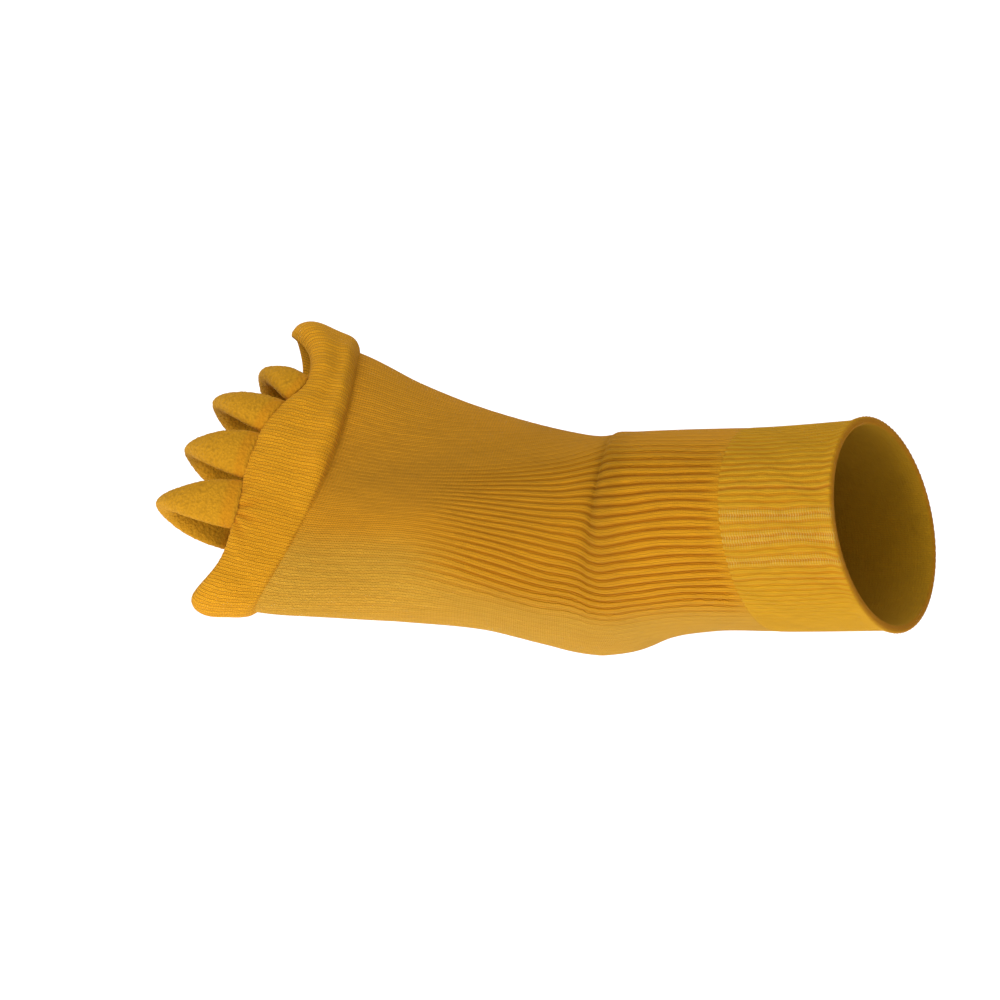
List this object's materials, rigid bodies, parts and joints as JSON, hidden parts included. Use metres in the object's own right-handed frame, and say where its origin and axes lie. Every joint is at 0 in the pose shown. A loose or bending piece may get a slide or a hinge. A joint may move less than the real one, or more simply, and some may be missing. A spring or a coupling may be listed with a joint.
{
  "type": "toe-spreader sock",
  "caption": "Open-toe ribbed knit sock in its worn shape, with an elastic leg cuff, a padded front band and padded loops that part the toes.",
  "frame": {"origin": "the ankle centre, where the foot axis and the leg axis meet inside the sock", "axes": "toes point to -X, the leg leaves towards +X and rises 24 degrees to +Z, the top of the foot faces +Z, the inner side of the foot faces -Y"},
  "size_m": [0.2969, 0.1184, 0.1513],
  "materials": {
    "body_knit": "soft rib knit, matt, golden yellow",
    "cuff_knit": "fine elastic rib knit, matt, yellow",
    "band_knit": "fine rib knit over padding, matt, golden yellow",
    "loop_terry": "soft terry over padding, matt, lemon yellow"
  },
  "bodies": {
    "root": {"sock_body": "body_knit", "leg_cuff": "cuff_knit", "toe_band": "band_knit", "toe_divider_1": "loop_terry", "toe_divider_2": "loop_terry", "toe_divider_3": "loop_terry", "toe_divider_4": "loop_terry"}
  },
  "joints": []
}
